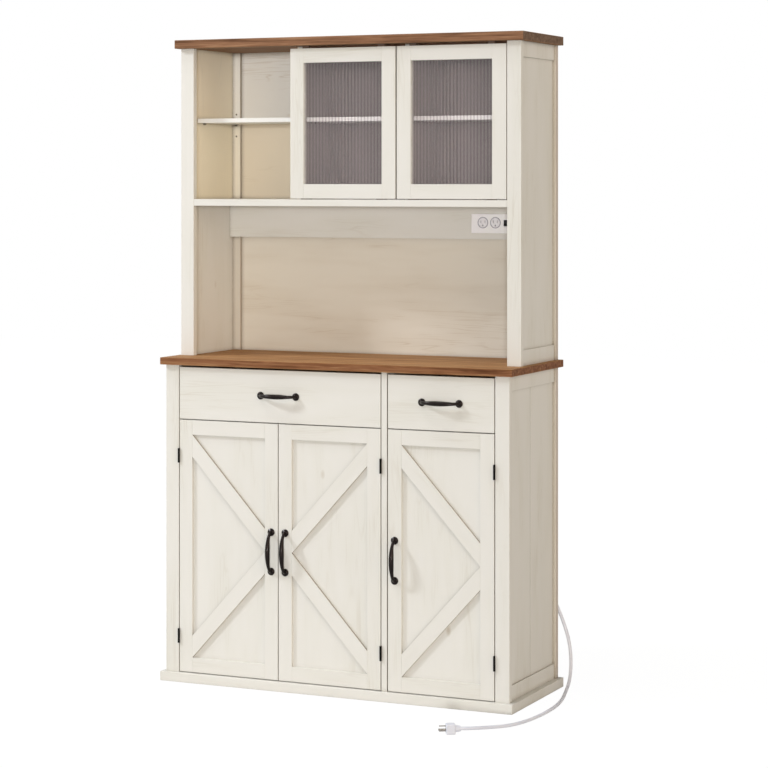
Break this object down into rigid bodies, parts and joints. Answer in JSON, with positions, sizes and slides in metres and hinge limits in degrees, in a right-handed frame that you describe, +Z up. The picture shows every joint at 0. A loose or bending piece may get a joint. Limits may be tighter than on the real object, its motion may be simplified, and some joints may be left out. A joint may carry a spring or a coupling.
{
  "type": "kitchen sideboard",
  "caption": "Tall kitchen sideboard: cupboard base with drawers and braced doors, worktop with an outlet rail, and an open hutch with a niche and sliding glazed doors.",
  "frame": {"origin": "middle of the plinth board's underside, on the floor", "axes": "+X to the right seen from the front, +Y to the back, +Z up"},
  "size_m": [1.1416, 0.6975, 1.8],
  "materials": {
    "painted_wood": "satin cream-white paint",
    "brown_top": "brown stained wood, satin",
    "back_board": "thin painted board",
    "drawer_board": "plain light board",
    "runner_wood": "waxed hardwood",
    "dark_bronze": "rubbed dark bronze",
    "hinge_metal": "nickel plated steel",
    "pin_metal": "zinc plated steel",
    "track_metal": "satin anodised",
    "reeded_glass": "clear reeded glass",
    "glide_plastic": "slippery plastic",
    "white_plastic": "moulded white plastic",
    "box_plastic": "moulded white plastic",
    "black_plastic": "moulded black plastic",
    "cord_plastic": "white flexible plastic",
    "blade_metal": "bright"
  },
  "bodies": {
    "cabinet": {"plinth_board": "painted_wood", "countertop": "brown_top", "cornice_board": "brown_top", "base_posts_front": "painted_wood", "hutch_post_front_left": "painted_wood", "hutch_post_front_right": "painted_wood", "rear_posts": "painted_wood", "base_side_left": "painted_wood", "base_side_right": "painted_wood", "hutch_side_left": "painted_wood", "hutch_side_right": "painted_wood", "base_divider": "painted_wood", "base_back_panel": "back_board", "drawer_decks": "drawer_board", "base_shelves": "painted_wood", "hutch_middle_shelf": "painted_wood", "hutch_partitions": "painted_wood", "hutch_shelves": "painted_wood", "hutch_back_panel": "back_board", "outlet_rail": "painted_wood", "door_tracks": "track_metal", "drawer_runners": "runner_wood", "runner_battens": "runner_wood", "hinge_fixed_halves": "hinge_metal", "shelf_pins": "pin_metal", "outlet_plate": "white_plastic", "outlet_sockets": "white_plastic", "outlet_box": "box_plastic", "strain_relief": "cord_plastic", "power_cord": "cord_plastic", "plug_body": "cord_plastic", "plug_blades": "blade_metal"},
    "door_left": {"door_left_panel": "painted_wood", "door_left_trim": "painted_wood", "door_left_handle": "dark_bronze", "door_left_hinge_leaves": "hinge_metal"},
    "door_middle": {"door_middle_panel": "painted_wood", "door_middle_trim": "painted_wood", "door_middle_handle": "dark_bronze", "door_middle_hinge_leaves": "hinge_metal"},
    "door_right": {"door_right_panel": "painted_wood", "door_right_trim": "painted_wood", "door_right_handle": "dark_bronze", "door_right_hinge_leaves": "hinge_metal"},
    "drawer_wide": {"drawer_wide_front": "painted_wood", "drawer_wide_box": "drawer_board", "drawer_wide_guides": "runner_wood", "drawer_wide_handle": "dark_bronze"},
    "drawer_narrow": {"drawer_narrow_front": "painted_wood", "drawer_narrow_box": "drawer_board", "drawer_narrow_guides": "runner_wood", "drawer_narrow_handle": "dark_bronze"},
    "glazed_door_middle": {"glazed_door_middle_frame": "painted_wood", "glazed_door_middle_glass": "reeded_glass", "glazed_door_middle_glides": "glide_plastic"},
    "glazed_door_right": {"glazed_door_right_frame": "painted_wood", "glazed_door_right_glass": "reeded_glass", "glazed_door_right_glides": "glide_plastic"},
    "outlet_switch": {"outlet_switch": "black_plastic"}
  },
  "joints": [
    {"name": "door_left_hinge", "type": "hinge", "parent": "cabinet", "child": "door_left", "pos_m": [-0.4755, -0.184, 0.38125], "axis": [0, 0, -1], "range_deg": [0, 105]},
    {"name": "door_middle_hinge", "type": "hinge", "parent": "cabinet", "child": "door_middle", "pos_m": [0.14583, -0.184, 0.38125], "axis": [0, 0, 1], "range_deg": [0, 105]},
    {"name": "door_right_hinge", "type": "hinge", "parent": "cabinet", "child": "door_right", "pos_m": [0.4755, -0.184, 0.38125], "axis": [0, 0, 1], "range_deg": [0, 105]},
    {"name": "drawer_wide_slide", "type": "slide", "parent": "cabinet", "child": "drawer_wide", "axis": [0, -1, 0], "range_m": [0, 0.22]},
    {"name": "drawer_narrow_slide", "type": "slide", "parent": "cabinet", "child": "drawer_narrow", "axis": [0, -1, 0], "range_m": [0, 0.22]},
    {"name": "glazed_right_slide", "type": "slide", "parent": "cabinet", "child": "glazed_door_right", "axis": [-1, 0, 0], "range_m": [0, 0.304]},
    {"name": "glazed_middle_slide", "type": "slide", "parent": "cabinet", "child": "glazed_door_middle", "axis": [-1, 0, 0], "range_m": [0, 0.304]},
    {"name": "switch_rocker", "type": "hinge", "parent": "cabinet", "child": "outlet_switch", "pos_m": [0.3765, 0.1545, 1.28325], "axis": [1, 0, 0], "range_deg": [0, 12]}
  ],
  "couplings": [
    {"joint": "glazed_middle_slide", "follows": "glazed_right_slide", "ratio": 1}
  ]
}
